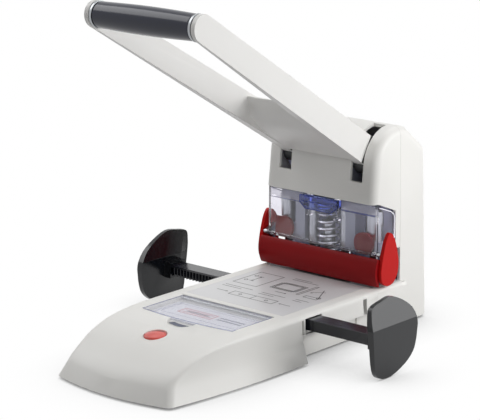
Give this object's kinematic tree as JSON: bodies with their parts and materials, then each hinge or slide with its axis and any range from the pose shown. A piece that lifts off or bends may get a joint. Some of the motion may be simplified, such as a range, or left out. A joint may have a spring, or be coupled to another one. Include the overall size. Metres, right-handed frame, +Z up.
{
  "type": "manual two-hole punch",
  "caption": "Heavy-duty two-hole paper punch: long two-armed lever, scotch-yoke crosshead, clear hood, hold-down bar, rack-and-pinion side stop and rear chip tray.",
  "frame": {"origin": "under the middle of the base, on the desk", "axes": "+X to the user's right, +Y to the back, +Z up"},
  "size_m": [0.24, 0.29, 0.2543],
  "materials": {
    "moulded_white": "fine textured ABS moulding",
    "pale_plastic": "moulded acetal",
    "ground_steel": "ground and oiled steel",
    "painted_steel": "grey painted steel",
    "dark_plastic": "dark moulded plastic",
    "black_rack": "black glossy acetal",
    "smoke_paddle": "dark grey satin plastic",
    "clear_plastic": "clear polycarbonate",
    "film": "printed film",
    "card": "printed card",
    "red_plastic": "glossy red ABS",
    "button_red": "red button",
    "navy_grip": "glossy navy grip",
    "silver": "silver collar",
    "latch_blue": "translucent blue plastic",
    "rubber": "black rubber",
    "bronze": "sintered bronze",
    "crosshead_grey": "grey die casting"
  },
  "bodies": {
    "root": {"base_plate": "painted_steel", "rubber_feet": "rubber", "base_chassis": "moulded_white", "table_cover": "moulded_white", "label_card": "card", "flap_pin": "ground_steel", "table_sheet": "film", "button_spring": "ground_steel", "rack_guide": "dark_plastic", "pinion_pin": "ground_steel", "die_plate": "painted_steel", "back_stop": "dark_plastic", "guide_plate": "ground_steel", "guide_rods": "ground_steel", "spring_post": "ground_steel", "return_spring": "ground_steel", "side_plates": "painted_steel", "axle": "ground_steel", "axle_spacers": "bronze", "axle_clips": "dark_plastic", "hood_pins": "ground_steel", "tower_front": "moulded_white", "tower_rear": "moulded_white", "cover_screws": "ground_steel"},
    "tray": {"chip_tray": "dark_plastic"},
    "flap": {"window_flap": "clear_plastic"},
    "button": {"push_button": "button_red"},
    "pinion": {"pinion": "pale_plastic"},
    "right_stop": {"rack_right": "black_rack", "paddle_right": "smoke_paddle"},
    "left_stop": {"rack_left": "black_rack", "paddle_left": "smoke_paddle"},
    "lever": {"lever": "moulded_white", "drive_pin": "ground_steel", "grip": "navy_grip", "grip_rod": "ground_steel", "grip_collars": "silver"},
    "crosshead": {"crosshead": "crosshead_grey", "crosshead_bushes": "bronze", "punch_right": "ground_steel", "punch_left": "ground_steel", "punch_keys": "red_plastic"},
    "hold_down": {"hold_down_bar": "red_plastic", "end_cap_right": "red_plastic", "end_cap_left": "red_plastic", "hold_down_pads": "clear_plastic"},
    "hood": {"hood": "clear_plastic", "latch_spring": "ground_steel"},
    "latch": {"hood_latch": "latch_blue"}
  },
  "joints": [
    {"name": "lever_hinge", "type": "hinge", "parent": "root", "child": "lever", "pos_m": [0, 0.11, 0.1205], "axis": [1, 0, 0], "range_deg": [-16, 27.5], "stiffness_Nm_per_rad": 3, "springref_deg": -5.73},
    {"name": "crosshead_slide", "type": "slide", "parent": "root", "child": "crosshead", "axis": [0, 0, 1], "range_m": [-0.0086, 0.0051], "deforming": ["return_spring"]},
    {"name": "right_stop_slide", "type": "slide", "parent": "root", "child": "right_stop", "axis": [1, 0, 0], "range_m": [-0.012, 0.0335]},
    {"name": "left_stop_slide", "type": "slide", "parent": "root", "child": "left_stop", "axis": [-1, 0, 0], "range_m": [-0.0121, 0.0336]},
    {"name": "pinion_spin", "type": "hinge", "parent": "root", "child": "pinion", "pos_m": [0, 0.026, 0.027], "axis": [0, 0, 1], "range_deg": [-50, 138]},
    {"name": "flap_hinge", "type": "hinge", "parent": "root", "child": "flap", "pos_m": [0, -0.0226, 0.0333], "axis": [-1, 0, 0], "range_deg": [0, 92]},
    {"name": "button_press", "type": "slide", "parent": "root", "child": "button", "axis": [0, 0, -1], "range_m": [0, 0.0025], "stiffness_N_per_m": 300, "springref_m": -0.001, "deforming": ["button_spring"]},
    {"name": "hold_down_lift", "type": "slide", "parent": "root", "child": "hold_down", "axis": [0, 0, 1], "range_m": [0, 0.009]},
    {"name": "hood_hinge", "type": "hinge", "parent": "root", "child": "hood", "pos_m": [0, 0.0834, 0.0595], "axis": [-1, 0, 0], "range_deg": [-75, 0]},
    {"name": "latch_slide", "type": "slide", "parent": "hood", "child": "latch", "axis": [0, 0, -1], "range_m": [0, 0.0015], "stiffness_N_per_m": 300, "springref_m": -0.001, "deforming": ["latch_spring"]},
    {"name": "tray_slide", "type": "slide", "parent": "root", "child": "tray", "axis": [0, 1, 0], "range_m": [0, 0.07]}
  ],
  "couplings": [
    {"joint": "crosshead_slide", "follows": "lever_hinge", "m_per_rad": -0.01757},
    {"joint": "left_stop_slide", "follows": "right_stop_slide", "ratio": 1},
    {"joint": "pinion_spin", "follows": "right_stop_slide", "rad_per_m": 71.429}
  ]
}
